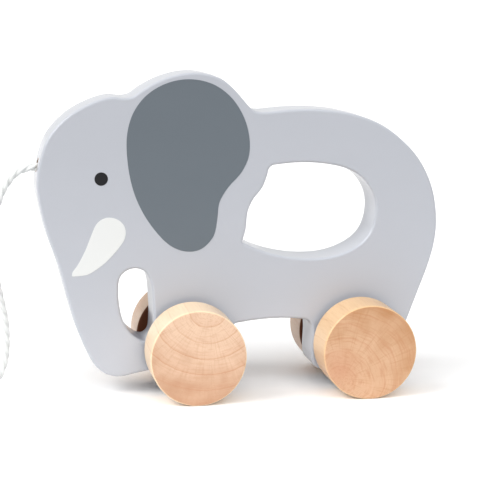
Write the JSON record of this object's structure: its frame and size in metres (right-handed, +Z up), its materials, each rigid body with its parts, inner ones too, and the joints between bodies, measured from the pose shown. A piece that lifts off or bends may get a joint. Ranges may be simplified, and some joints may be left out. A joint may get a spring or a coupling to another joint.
{
  "type": "pull-along elephant toy",
  "caption": "Pull-along animal toy: a flat painted wooden elephant with a handle hole, on turning axles with thick wooden wheels, and a cotton pull cord.",
  "frame": {"origin": "on the floor, under the middle of the toy's length and width, cord left out", "axes": "+X along the toy from head to rump, +Y across towards the toy's right side, +Z up"},
  "size_m": [0.2448, 0.0726, 0.1285],
  "materials": {
    "grey_paint": "satin-gloss light grey paint over sanded wood",
    "wheel_wood": "clear-lacquered natural beech, end grain on the faces",
    "axle_wood": "raw beech dowel",
    "dark_grey_print": "satin screen print",
    "white_print": "satin screen print",
    "black_print": "satin screen print",
    "white_cotton": "soft twisted cotton"
  },
  "bodies": {
    "elephant": {"body": "grey_paint", "ear_print_left": "dark_grey_print", "ear_print_right": "dark_grey_print", "tusk_print_left": "white_print", "tusk_print_right": "white_print", "eye_print_left": "black_print", "eye_print_right": "black_print", "pull_cord": "white_cotton", "pull_cord_coil": "white_cotton", "pull_cord_end_knot": "white_cotton"},
    "front_wheelset": {"front_axle": "axle_wood", "front_wheel_left": "wheel_wood", "front_wheel_right": "wheel_wood"},
    "rear_wheelset": {"rear_axle": "axle_wood", "rear_wheel_left": "wheel_wood", "rear_wheel_right": "wheel_wood"}
  },
  "joints": [
    {"name": "front_axle_turn", "type": "hinge", "parent": "elephant", "child": "front_wheelset", "pos_m": [-0.0207, 0, 0.019], "axis": [0, 1, 0], "continuous": true},
    {"name": "rear_axle_turn", "type": "hinge", "parent": "elephant", "child": "rear_wheelset", "pos_m": [0.0483, 0, 0.019], "axis": [0, 1, 0], "continuous": true}
  ]
}
